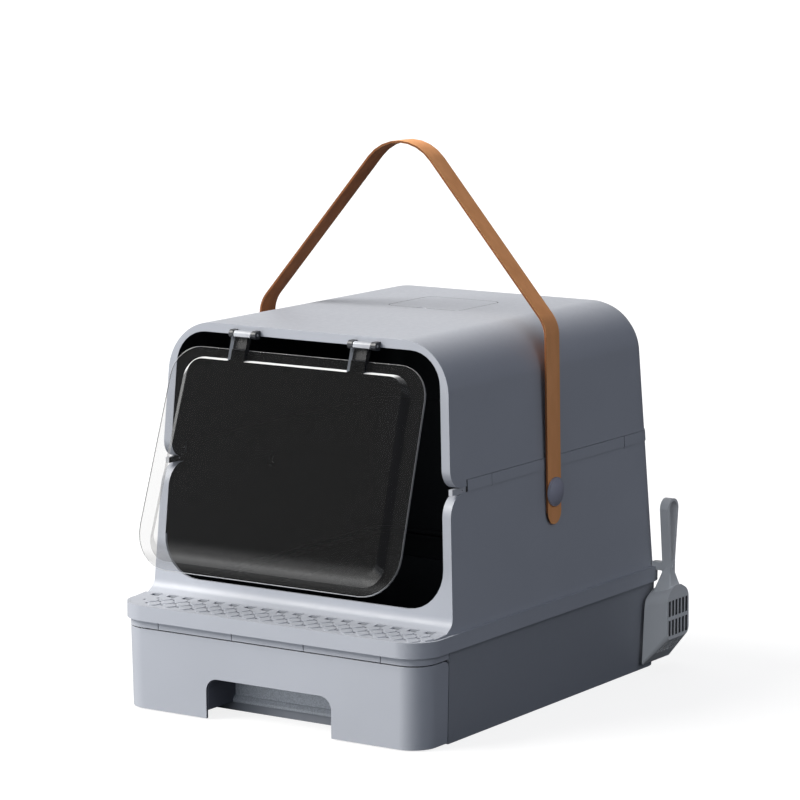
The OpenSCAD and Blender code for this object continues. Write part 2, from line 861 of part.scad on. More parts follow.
module hinge_bracket(side) {
    ear_r = 4.6;
    mirrored(side)
        color(dark_colour)
            difference() {
                union()
                    for (s = [-1, 1])
                        translate([hinge_x + s * (barrel_w / 2 + ear_gap + ear_t / 2) - ear_t / 2, 0, 0])
                            intersection() {
                                union() {
                                    translate([0, hinge_y, hinge_z])
                                        rotate([0, 90, 0]) cylinder(r = ear_r, h = ear_t);
                                    translate([0, hinge_y, hinge_z - ear_r])
                                        cube([ear_t, hinge_out + 1, 2 * ear_r]);
                                }
                                front_of_frame();
                            }
                translate([hinge_x - pin_l, hinge_y, hinge_z])
                    rotate([0, 90, 0]) cylinder(r = pin_r, h = 2 * pin_l);
            }
}

// The space just in front of the hood's leaning front face
module front_of_frame() {
    high = roof_z + past;
    along_x(far / 2)
        polygon([[-far, high], [-far, sill_z], [hood_front(sill_z), sill_z], [hood_front(high), high]]);
}

module hinge_pin(side) {
    mirrored(side)
        color("silver")
            translate([hinge_x - pin_l / 2, hinge_y, hinge_z])
                rotate([0, 90, 0]) cylinder(r = pin_r, h = pin_l);
}

// ---- Strap ----

strap_x = hood_side(pivot_z) + strap_gap;
strap_end_r = strap_w / 2;
button_x = strap_x + strap_t + seat_fit + button_r * tan(strap_lean);

module strap() {
    t = strap_t;
    half = strap_x + t;
    low = pivot_z - strap_tail - strap_end_r;
    lean = tan(strap_lean);
    // the legs lean in to the elbows, and the arch slopes from there to the rounded crown
    foot = half + (pivot_z - low) * lean;
    bend = half - (bend_z - pivot_z) * lean;
    crown_z = strap_top - crown_r - t;
    slope = atan2(crown_z - bend_z, bend) + asin((crown_r + t) / norm([bend, crown_z - bend_z]));
    peak = bend_z + bend * tan(slope);
    outer = rounded([[foot, low], [bend, bend_z], [0, peak], [-bend, bend_z], [-foot, low]],
        [0, elbow_r + t, crown_r + t, elbow_r + t, 0]);
    inner_peak = peak - t / cos(slope);
    inner_bend = (strap_x - (inner_peak - pivot_z) * lean) / (1 - tan(slope) * lean);
    inner_z = inner_peak - inner_bend * tan(slope);
    inner = rounded([[t - foot, low], [-inner_bend, inner_z], [0, inner_peak],
        [inner_bend, inner_z], [foot - t, low]],
        [0, elbow_r, crown_r, elbow_r, 0]);
    color(strap_colour)
        difference() {
            intersection() {
                along_y(pivot_y - strap_w / 2, pivot_y + strap_w / 2)
                    polygon(concat(outer, inner));
                along_x(far)
                    union() {
                        translate([pivot_y, low + strap_end_r]) circle(r = strap_end_r);
                        translate([pivot_y - strap_end_r, low + strap_end_r])
                            square([strap_w, strap_top]);
                    }
            }
            pivot_bore(stud_r + run_fit);
        }
}

module strap_button(side) {
    edge = 2.2;
    dome_r = (pow(button_r - 1, 2) + pow(button_t - edge, 2)) / (2 * (button_t - edge));
    mirrored(side)
        color([0.42, 0.44, 0.47])
            translate([button_x, pivot_y, pivot_z])
                rotate([0, 90, 0]) {
                    cylinder(r = button_r, h = edge);
                    intersection() {
                        translate([0, 0, edge - skin]) cylinder(r = button_r - 1, h = button_t);
                        translate([0, 0, button_t - dome_r]) sphere(r = dome_r, $fn = 96);
                    }
                }
}

nut_t = 5;
nut_x = hood_side(pivot_z) - hood_wall - nut_t - 0.6;

module strap_stud(side) {
    collar_r = 8;
    collar_x = hood_side(pivot_z - collar_r) + 0.1;
    mirrored(side)
        color("silver")
            translate([0, pivot_y, pivot_z]) {
                translate([nut_x, 0, 0])
                    rotate([0, 90, 0])
                        cylinder(r = stud_r, h = button_x - nut_x);
                translate([collar_x, 0, 0])
                    rotate([0, 90, 0])
                        cylinder(r = collar_r, h = strap_x - seat_fit - collar_x);
            }
}

module strap_nut(side) {
    nut_r = 9;
    mirrored(side)
        color(dark_colour)
            translate([nut_x, pivot_y, pivot_z])
                rotate([0, 90, 0])
                    difference() {
                        cylinder(r = nut_r, h = nut_t, $fn = 6);
                        translate([0, 0, -over]) cylinder(r = stud_r, h = nut_t + 2 * over);
                    }
}

// ---- Filter ----

module filter_lid() {
    color(body_colour)
        difference() {
            lid_plate(0, ledge_z, roof_z);
            // finger hollow in the front edge
            translate([0, lid_y - lid_d / 2, roof_z + 5])
                sphere(r = 8);
        }
}

module filter_basket() {
    slots = 7;
    play = 0.4;
    half = hole_half - play;
    deep = hole_deep - play;
    low = rim_low - basket_h;
    pitch = 2 * (half - 6) / slots;
    color(tray_colour)
        translate([0, lid_y, 0])
            difference() {
                slab(half, -deep, deep, lid_r - 6, lid_r - 6, low, ledge_z - 0.1);
                slab(half - basket_wall, basket_wall - deep, deep - basket_wall, lid_r - 7, lid_r - 7,
                    low + basket_wall, ledge_z + over);
                for (i = [0 : slots - 1])
                    translate([6 - half + pitch * (i + 0.25), 6 - deep, low - over])
                        cube([pitch / 2, 2 * (deep - 6), basket_wall + 2 * over]);
            }
}

module filter_pad() {
    play = 1;
    half = hole_half - basket_wall - play;
    deep = hole_deep - basket_wall - play;
    low = rim_low - basket_h + basket_wall + 0.1;
    color(dark_colour)
        translate([0, lid_y, 0])
            slab(half, -deep, deep, 3, 3, low, low + pad_t);
}

// ---- Scoop ----

scoop_x = base_side(base_h) + 4;
scoop_y = lip_d / 2 - scoop_in;
handle_x = lip_w / 2 + 8.5;
loop_top = scoop_z + scoop_l;
peg_z = lip_top + 1;
bowl_top = scoop_z + bowl_l;
bowl_bend = scoop_z + bowl_l / 3;

// One upright outline of the bowl at x: as wide as half at low and straight up to its round shoulders
module bowl_outline(x, half, low, waist_half, top, t, foot_r) {
    shoulder_r = 15;
    neck = neck_half + 1;
    translate([x, scoop_y, 0])
        rotate([90, 0, 90])
            linear_extrude(skin)
                polygon(rounded([[t - half, low + t], [half - t, low + t],
                    [waist_half - t, top - 9 - t], [neck - t, top - t], [t - neck, top - t],
                    [t - waist_half, top - 9 - t]],
                    [foot_r, foot_r, shoulder_r - t, 3, 3, shoulder_r - t]));
}

// The bowl's closed form, t inside its outer face. Its mouth lies in the plane x = scoop_x and faces
// the base, and its lip is at the bottom, where its back slopes down to the mouth
module bowl_form(t) {
    hull() {
        bowl_outline(scoop_x - t, bowl_w / 2, scoop_z, bowl_back / 2 + 1, bowl_top - 6, t, 3);
        bowl_outline(scoop_x + bowl_d - t - skin, bowl_back / 2, bowl_bend, bowl_back / 2 - 1,
            bowl_top, t, 9);
    }
}

// The neck that runs from the bowl's shoulders up to the handle
module scoop_neck() {
    r = 4;
    hull() {
        translate([scoop_x + bowl_d / 2, scoop_y, bowl_top - 12])
            linear_extrude(skin)
                polygon(rounded(box_points(bowl_d / 2 - 1, -bowl_back * 0.3, bowl_back * 0.3),
                    [r, r, r, r]));
        translate([handle_x + loop_w / 2, scoop_y, peg_z - 6])
            linear_extrude(skin)
                polygon(rounded(box_points(loop_w / 2, -neck_half, neck_half),
                    [r / 3, r / 3, r / 3, r / 3]));
    }
}

// The handle's outline: a loop that narrows to a neck, t inside its outer edge
function loop_points(t, low, waist) =
    [[t - neck_half, low], [neck_half - t, low], [neck_half - t, waist],
        [loop_half - t, loop_top - loop_half], [loop_half - t, loop_top - t],
        [t - loop_half, loop_top - t], [t - loop_half, loop_top - loop_half], [t - neck_half, waist]];

module scoop() {
    columns = 6;
    rib = 3;
    wall_in = 4;
    cell = (bowl_back - 2 * wall_in + rib) / columns;
    row_h = 18;
    row_pitch = 22.5;
    row_z = bowl_bend + 4;
    slope = atan2(bowl_bend - scoop_z, bowl_d);
    waist_z = peg_z + 8;
    end_r = loop_half - 0.3;
    color(scoop_colour)
        difference() {
            union() {
                difference() {
                    bowl_form(0);
                    bowl_form(scoop_wall);
                    for (i = [0 : columns - 1])
                        translate([scoop_x + bowl_d, scoop_y + wall_in + i * cell - bowl_back / 2, 0]) {
                            for (row = [0, 1])
                                translate([-2 * scoop_wall, 0, row_z + row * row_pitch])
                                    cube([3 * scoop_wall, cell - rib, row_h]);
                            // slots in the sloping lip
                            translate([0, 0, bowl_bend])
                                rotate([0, -slope, 0])
                                    translate([-row_h - 5, 0, -2 * scoop_wall])
                                        cube([row_h, cell - rib, 4 * scoop_wall]);
                        }
                }
                scoop_neck();
                translate([handle_x, scoop_y, 0])
                    rotate([90, 0, 90])
                        linear_extrude(loop_w)
                            difference() {
                                polygon(rounded(loop_points(0, bowl_top, waist_z),
                                    [0, 0, 20, 0, end_r, end_r, 0, 20]));
                                polygon(rounded(loop_points(loop_t, waist_z - 2, waist_z + 2),
                                    [2, 2, 0, 0, end_r - loop_t, end_r - loop_t, 0, 0]));
                            }
            }
            translate([handle_x - over, scoop_y, peg_z])
                rotate([0, 90, 0]) cylinder(r = peg_r + seat_fit / 2, h = loop_w + 2 * over, $fn = 32);
        }
}

// A block that hooks over the lip's edge and carries the scoop's peg
module scoop_hook() {
    x0 = lip_w / 2;
    z1 = lip_top + 5.5;
    color(scoop_colour) {
        translate([x0, scoop_y - hook_w / 2, z1 - hook_h])
            cube([handle_x - seat_fit - x0, hook_w, hook_h]);
        translate([x0 - side_ledge, scoop_y - hook_w / 2, lip_top])
            cube([side_ledge + over, hook_w, z1 - lip_top]);
        translate([handle_x - over, scoop_y, peg_z])
            rotate([0, 90, 0]) cylinder(r = peg_r, h = loop_w + 2 * over, $fn = 32);
    }
}

base_shell();
drawer_tray();
drawer_front();
deck();
step_grate();
lower_hood();
upper_hood();
seam_clip("left");  // seam_clip_left
seam_clip("right");  // seam_clip_right
hinge_bracket("left");  // hinge_bracket_left
hinge_bracket("right");  // hinge_bracket_right
hinge_pin("left");  // hinge_pin_left
hinge_pin("right");  // hinge_pin_right
flap_door();
strap();
strap_button("left");  // strap_button_left
strap_button("right");  // strap_button_right
strap_stud("left");  // strap_stud_left
strap_stud("right");  // strap_stud_right
strap_nut("left");  // strap_nut_left
strap_nut("right");  // strap_nut_right
filter_lid();
filter_basket();
filter_pad();
scoop();
scoop_hook();
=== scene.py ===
"""The drawer litter box: the CAD frame's nodes with their edges rounded and their materials made.

Every piece is a refined copy of one CAD node, in metres and in the CAD's own frame. It replaces
that node and rides on its body."""

import json
import math
from functools import lru_cache

import bmesh
import bpy
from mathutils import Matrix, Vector
from mathutils.geometry import delaunay_2d_cdt

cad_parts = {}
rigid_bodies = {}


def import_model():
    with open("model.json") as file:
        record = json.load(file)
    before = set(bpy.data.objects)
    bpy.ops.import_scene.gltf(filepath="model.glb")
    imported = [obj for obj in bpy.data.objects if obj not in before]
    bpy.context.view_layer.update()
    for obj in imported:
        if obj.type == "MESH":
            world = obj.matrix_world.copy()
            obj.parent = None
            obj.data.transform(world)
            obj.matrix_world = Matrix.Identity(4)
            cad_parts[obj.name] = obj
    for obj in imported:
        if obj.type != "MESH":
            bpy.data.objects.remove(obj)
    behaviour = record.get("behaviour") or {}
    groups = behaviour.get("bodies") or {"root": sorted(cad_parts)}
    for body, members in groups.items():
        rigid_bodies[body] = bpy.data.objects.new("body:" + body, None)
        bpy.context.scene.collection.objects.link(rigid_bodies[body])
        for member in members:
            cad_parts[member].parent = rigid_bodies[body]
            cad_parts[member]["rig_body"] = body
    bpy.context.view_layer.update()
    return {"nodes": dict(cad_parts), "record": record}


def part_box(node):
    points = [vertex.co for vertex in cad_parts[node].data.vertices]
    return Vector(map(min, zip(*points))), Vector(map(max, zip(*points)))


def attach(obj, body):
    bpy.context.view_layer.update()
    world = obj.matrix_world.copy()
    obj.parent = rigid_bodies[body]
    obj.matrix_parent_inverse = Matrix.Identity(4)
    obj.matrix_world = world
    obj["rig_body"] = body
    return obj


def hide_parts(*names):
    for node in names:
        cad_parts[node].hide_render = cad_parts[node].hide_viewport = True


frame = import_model()
NODES = frame["nodes"]
MM = 0.001
box = lru_cache(maxsize=None)(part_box)


# ---- Places and sizes of the solids ----

def joint_place(name):
    joint = next(j for j in frame["record"]["behaviour"]["joints"] if j["name"] == name)
    return Vector(joint["pos_m"])


FLAP_LEAN = math.radians(18)        # how far the flap stands open at rest
HINGE = joint_place("flap_swing")
FLAP_OUT = Vector((0, -math.cos(FLAP_LEAN), math.sin(FLAP_LEAN)))
FLAP_UP = Vector((0, math.sin(FLAP_LEAN), math.cos(FLAP_LEAN)))
FLAP_HALF = 1.25 * MM               # half the thickness of the flap's sheet
FLAP_FRONT = 1.3 * MM               # what lies further out is raised from the sheet
ARM_X = 77 * MM                     # each arm's middle, to the side of the flap's,
ARM_HALF = 12 * MM                  # half its width and a margin,
ARM_END = 21 * MM                   # how far down the flap it is painted
BARREL_END = 5 * MM                 # and how far down the hinge's barrel is

PANEL_END = 241                     # mm down the flap, where its raised panel ends,
PANEL_FADE = PANEL_END - 14         # where the painted reflection on that panel begins,
SLOPE_PEAK = PANEL_END + 6          # where the painted reflection on its lower slope is brightest,
SLOPE_END = 253                     # where that slope ends
RIM_START = SLOPE_END + 9           # and where its rim begins

STRAP_MIDDLE = Vector((0, joint_place("strap_swing").y, 0.30))
STRAP_BEND = box("upper_hood")[1].z - 35 * MM
STRAP_TOP = box("strap")[1].z - 12 * MM

HOOD_MIDDLE = Vector((0, 0.02, 0.25))
BASE_MIDDLE = Vector((0, 0, 0.06))
DOOR_MIDDLE = Vector((0, 0, (box("upper_hood")[1].z + box("lower_hood")[0].z) / 2))
SEAM = box("lower_hood")[1].z       # where the two halves of the hood part
SQUARE_ON = 0.97                    # a face this much along a direction looks straight at it


# ---- Camera, floor and light ----

def make_camera():
    """The camera that was solved from the photograph."""
    azimuth = math.radians(33.135)
    elevation = math.radians(8.906)
    distance = 4.0
    target = Vector((-0.00066, 0.0, 0.32176))
    back = Vector((math.sin(azimuth) * math.cos(elevation),
                   -math.cos(azimuth) * math.cos(elevation),
                   math.sin(elevation)))
    data = bpy.data.cameras.new("camera")
    data.sensor_width = 36.0
    data.lens = 162.32
    data.shift_x = 0.00196
    data.shift_y = 0.0002
    camera = bpy.data.objects.new("camera", data)
    bpy.context.scene.collection.objects.link(camera)
    camera.location = target + back * distance
    camera.rotation_euler = (-back).to_track_quat("-Z", "Y").to_euler()
    bpy.context.scene.camera = camera


def camera_only(tree, seen, unseen, output):
    """Shows one shader to the camera and another to every other ray."""
    path = tree.nodes.new("ShaderNodeLightPath")
    mix = tree.nodes.new("ShaderNodeMixShader")
    tree.links.new(path.outputs["Is Camera Ray"], mix.inputs[0])
    tree.links.new(unseen, mix.inputs[1])
    tree.links.new(seen, mix.inputs[2])
    tree.links.new(mix.outputs[0], tree.nodes[output].inputs["Surface"])


def make_floor():
    """A pale studio floor that shows only a faint shadow and throws little light back."""
    half = 40.0
    drop = 0.1 * MM
    corners = [(-half, -half, 0), (half, -half, 0), (half, half, 0), (-half, half, 0)]
    mesh = bpy.data.meshes.new("floor")
    mesh.from_pydata(corners, [], [(0, 1, 2, 3)])
    floor = bpy.data.objects.new("floor", mesh)
    floor.location.z = -drop
    bpy.context.scene.collection.objects.link(floor)
    mat = bpy.data.materials.new("floor_paint")
    mat.use_nodes = True
    tree = mat.node_tree
    shader = tree.nodes["Principled BSDF"]
    shader.inputs["Base Color"].default_value = (0.24, 0.24, 0.24, 1)
    shader.inputs["Roughness"].default_value = 0.9
    shader.inputs["Specular IOR Level"].default_value = 0.0
    shader.inputs["Emission Color"].default_value = (1, 1, 1, 1)
    shader.inputs["Emission Strength"].default_value = 0.84
    dim = tree.nodes.new("ShaderNodeBsdfDiffuse")
    dim.inputs["Color"].default_value = (0.07, 0.073, 0.08, 1)
    camera_only(tree, shader.outputs[0], dim.outputs[0], "Material Output")
    mesh.materials.append(mat)


def add_lamp(name, kind, towards, strength, colour):
    """A lamp whose light comes from a direction."""
    data = bpy.data.lights.new(name, kind)
    data.energy = strength
    data.color = colour
    lamp = bpy.data.objects.new(name, data)
    lamp.rotation_euler = Vector(towards).to_track_quat("Z", "Y").to_euler()
    bpy.context.scene.collection.objects.link(lamp)
    return lamp


def make_sun(name, direction, strength, degrees, colour):
    """A sun that is wide enough for soft shadows."""
    lamp = add_lamp(name, "SUN", direction, strength, colour)
    lamp.data.angle = math.radians(degrees)


def make_panel(name, place, aim, size, watts, colour):
    """A soft light panel that the camera doesn't see."""
    lamp = add_lamp(name, "AREA", Vector(place) - Vector(aim), watts, colour)
    lamp.data.shape = "RECTANGLE"
    lamp.data.size, lamp.data.size_y = size
    lamp.location = place
    lamp.visible_camera = False


def make_world():
    """A white studio that lights the left side well and leaves the right side dim."""
    world = bpy.data.worlds.new("studio")
    bpy.context.scene.world = world
    world.use_nodes = True
    tree = world.node_tree
    coords = tree.nodes.new("ShaderNodeTexCoord")
    split = tree.nodes.new("ShaderNodeSeparateXYZ")
    leftness = tree.nodes.new("ShaderNodeMath")     # 0 at the right, 1 at the left
    leftness.operation = "MULTIPLY_ADD"
    leftness.inputs[1].default_value = -0.5
    leftness.inputs[2].default_value = 0.5
    ramp = tree.nodes.new("ShaderNodeValToRGB")
    dark, bright = ramp.color_ramp.elements
    dark.position, dark.color = 0.40, (0.13, 0.14, 0.18, 1)
    bright.position, bright.color = 0.85, (1.0, 1.0, 1.0, 1)
    tree.links.new(coords.outputs["Generated"], split.inputs[0])
    tree.links.new(split.outputs["X"], leftness.inputs[0])
    tree.links.new(leftness.outputs[0], ramp.inputs[0])
    light = tree.nodes["Background"]
    tree.links.new(ramp.outputs[0], light.inputs["Color"])
    light.inputs["Strength"].default_value = 0.85
    white = tree.nodes.new("ShaderNodeBackground")
    white.inputs["Color"].default_value = (1, 1, 1, 1)
    camera_only(tree, white.outputs[0], light.outputs[0], "World Output")


make_camera()
make_floor()
make_sun("key", (-0.60, -0.46, 0.66), 4.25, 40, (1.0, 0.985, 0.95))
make_sun("fill", (0.80, -0.25, 0.50), 0.45, 40, (0.88, 0.94, 1.0))
make_sun("front", (0.10, -1.0, 0.12), 0.45, 30, (0.84, 0.92, 1.0))
make_panel("low_front", place=(-0.55, -1.05, 0.07), aim=(-0.05, -0.26, 0.06), size=(0.9, 0.12),
           watts=2.4, colour=(0.90, 0.94, 1.0))
make_world()
bpy.context.scene.view_settings.view_transform = "Standard"


# ---- Materials ----

MIX_A, MIX_B, MIX_RESULT = 6, 7, 2      # the colour sockets of a Mix node


class Paint:
    """A material's nodes, with short ways to add and join them."""

    def __init__(self, name):
        self.material = bpy.data.materials.new(name)
        self.material.use_nodes = True
        self.tree = self.material.node_tree
        self.shader = self.tree.nodes["Principled BSDF"]
        self.coords = self.add("ShaderNodeTexCoord").outputs["Object"]

    def add(self, kind, **settings):
        node = self.tree.nodes.new(kind)
        for key, value in settings.items():
            setattr(node, key, value)
        return node

    def link(self, source, target):
        self.tree.links.new(source, target)

    def drive(self, name, source):
        """Joins an output to the shader's input of that name."""
        self.link(source, self.shader.inputs[name])

    def set(self, **values):
        """Sets the shader's own inputs; an underscore stands for a space."""
        for key, value in values.items():
            self.shader.inputs[key.replace("_", " ")].default_value = value

    def noise(self, scale, detail=2.0, stretch=(1, 1, 1)):
        """Noise in the piece's own frame; scale is in features per metre."""
        mapping = self.add("ShaderNodeMapping")
        mapping.inputs["Scale"].default_value = stretch
        self.link(self.coords, mapping.inputs["Vector"])
        node = self.add("ShaderNodeTexNoise")
        node.inputs["Scale"].default_value = scale
        node.inputs["Detail"].default_value = detail
        self.link(mapping.outputs[0], node.inputs["Vector"])
        return node.outputs["Fac"]

    def span(self, value, start, end, low=0.0, high=1.0):
        """Maps start..end to low..high."""
        node = self.add("ShaderNodeMapRange")
        node.inputs["From Min"].default_value = start
        node.inputs["From Max"].default_value = end
        node.inputs["To Min"].default_value = low
        node.inputs["To Max"].default_value = high
        self.link(value, node.inputs["Value"])
        return node.outputs[0]

    def spread(self, noise, low, high):
        """Maps a noise value's usual range to low..high."""
        return self.span(noise, 0.3, 0.7, low, high)

    def mix(self, noise, a, b):
        """A colour between a and b, by a noise value."""
        node = self.add("ShaderNodeMix", data_type="RGBA")
        self.link(self.spread(noise, 0, 1), node.inputs[0])
        node.inputs[MIX_A].default_value = (*a, 1)
        node.inputs[MIX_B].default_value = (*b, 1)
        return node.outputs[MIX_RESULT]

    def bump(self, height, strength, distance, under=None):
        node = self.add("ShaderNodeBump")
        node.inputs["Strength"].default_value = strength
        node.inputs["Distance"].default_value = distance
        self.link(height, node.inputs["Height"])
        if under is not None:
            self.link(under, node.inputs["Normal"])
        return node.outputs[0]

    def dot(self, vector, direction):
        node = self.add("ShaderNodeVectorMath", operation="DOT_PRODUCT")
        self.link(vector, node.inputs[0])
        node.inputs[1].default_value = direction
        return node.outputs["Value"]

    def grey_ramp(self, value, stops):
        """A smooth grey over a value from 0 to 1; each stop is a place and a grey."""
        ramp = self.add("ShaderNodeValToRGB")
        ramp.color_ramp.interpolation = "EASE"
        spots = ramp.color_ramp.elements
        while len(spots) < len(stops):
            spots.new(0.5)
        for spot, (place, grey) in zip(spots, stops):
            spot.position = place
            spot.color = (grey, grey, grey, 1)
        self.link(value, ramp.inputs[0])
        return ramp.outputs[0]

    def facing(self, direction, stops):
        """A grey by how far the surface faces a direction, from -1 to 1."""
        scale = self.add("ShaderNodeMath", operation="MULTIPLY_ADD")
        scale.inputs[1].default_value = 0.5
        scale.inputs[2].default_value = 0.5
        normal = self.add("ShaderNodeTexCoord").outputs["Normal"]
        self.link(self.dot(normal, Vector(direction).normalized()), scale.inputs[0])
        return self.grey_ramp(scale.outputs[0], [(dot / 2 + 0.5, grey) for dot, grey in stops])

    def down_flap(self, stops):
        """A grey by how far down the flap a point lies; each stop is in mm from the hinge."""
        first, last = stops[0][0], stops[-1][0]
        hinge = HINGE.dot(-FLAP_UP)
        place = self.span(self.dot(self.coords, -FLAP_UP), hinge + first * MM, hinge + last * MM)
        return self.grey_ramp(place, [((down - first) / (last - first), grey)
                                      for down, grey in stops])


def shade(colour, factor):
    return tuple(c * factor for c in colour)


def plastic(name, colour, rough=0.42, grain=1400, grain_depth=0.03, variation=0.03, spec=0.45,
            drift=7.0):
    """Moulded plastic: drifting colour, fine spark-eroded grain and slightly uneven gloss.
    The grain's depth is in mm."""
    paint = Paint(name)
    paint.drive("Base Color", paint.mix(paint.noise(drift, 3.0), shade(colour, 1 - variation),
                                        shade(colour, 1 + variation)))
    paint.drive("Roughness", paint.spread(paint.noise(160, 3.0), rough - 0.05, rough + 0.05))
    paint.drive("Normal", paint.bump(paint.noise(grain), 0.35, grain_depth * MM))
    paint.set(Specular_IOR_Level=spec)
    return paint.material


def clear(name, colour, alpha, rough):
    """Clear plastic where it is thick: hardly seen through, with gloss on its surface."""
    paint = Paint(name)
    paint.drive("Base Color", paint.mix(paint.noise(30), shade(colour, 0.9), shade(colour, 1.1)))
    paint.drive("Roughness", paint.spread(paint.noise(220), rough * 0.8, rough * 1.2))
    paint.set(Alpha=alpha, IOR=1.49, Specular_IOR_Level=0.35)
    return paint.material


def clear_sheet(name, colours, alphas, rough):
    """Clear plastic with a grainy painted reflection that grows towards the flap's lower edge."""
    paint = Paint(name)
    grain = paint.add("ShaderNodeMix", data_type="RGBA", blend_type="MULTIPLY")
    grain.inputs[0].default_value = 1.0
    paint.link(paint.down_flap(colours), grain.inputs[MIX_A])
    paint.link(paint.mix(paint.noise(650), (0.7, 0.7, 0.7), (1.3, 1.3, 1.3)), grain.inputs[MIX_B])
    paint.drive("Base Color", grain.outputs[MIX_RESULT])
    paint.drive("Alpha", paint.down_flap(alphas))
    paint.set(Roughness=rough, IOR=1.49, Specular_IOR_Level=0.3)
    return paint.material


def clear_edge(name, direction, colours, alphas):
    """Clear plastic seen on edge, with a painted highlight: lighter and less clear where it faces a
    fixed direction.
    """
    paint = Paint(name)
    paint.drive("Base Color", paint.facing(direction, colours))
    paint.drive("Alpha", paint.facing(direction, alphas))
    paint.drive("Normal", paint.bump(paint.noise(900, 3.0), 0.3, 0.05 * MM))
    paint.set(Roughness=0.2, IOR=1.49)
    return paint.material


def leather(name, colour, dark, rough=0.5):
    """Smooth strap leather: fine pebbled grain, long soft streaks and darker hollows."""
    paint = Paint(name)
    streak = paint.noise(60, 4.0, (1, 1, 0.25))
    paint.drive("Base Color", paint.mix(streak, dark, colour))
    cells = paint.add("ShaderNodeTexVoronoi", feature="SMOOTH_F1")
    cells.inputs["Scale"].default_value = 1500
    paint.link(paint.coords, cells.inputs["Vector"])
    grain = paint.bump(cells.outputs["Distance"], 0.25, 0.05 * MM)
    paint.drive("Normal", paint.bump(streak, 0.2, 0.15 * MM, grain))
    paint.drive("Roughness", paint.spread(paint.noise(300, 3.0), rough - 0.06, rough + 0.08))
    paint.set(Specular_IOR_Level=0.25)
    return paint.material


def metal(name, colour):
    """Turned steel with fine rings round the X axis."""
    paint = Paint(name)
    rings = paint.noise(500, 2.0, (1, 6, 6))
    paint.drive("Base Color", paint.mix(rings, shade(colour, 0.9), shade(colour, 1.05)))
    paint.drive("Roughness", paint.spread(rings, 0.24, 0.40))
    paint.set(Metallic=1.0)
    return paint.material


def felt(name, colour):
    """Matted filter felt: fibres as stretched noise, with a soft sheen."""
    paint = Paint(name)
    fibres = paint.noise(900, 5.0, (1, 0.3, 1))
    paint.drive("Base Color", paint.mix(fibres, shade(colour, 0.5), shade(colour, 1.6)))
    paint.drive("Normal", paint.bump(fibres, 0.8, 0.4 * MM))
    paint.set(Roughness=0.95, Sheen_Weight=0.3, Specular_IOR_Level=0.1)
    return paint.material


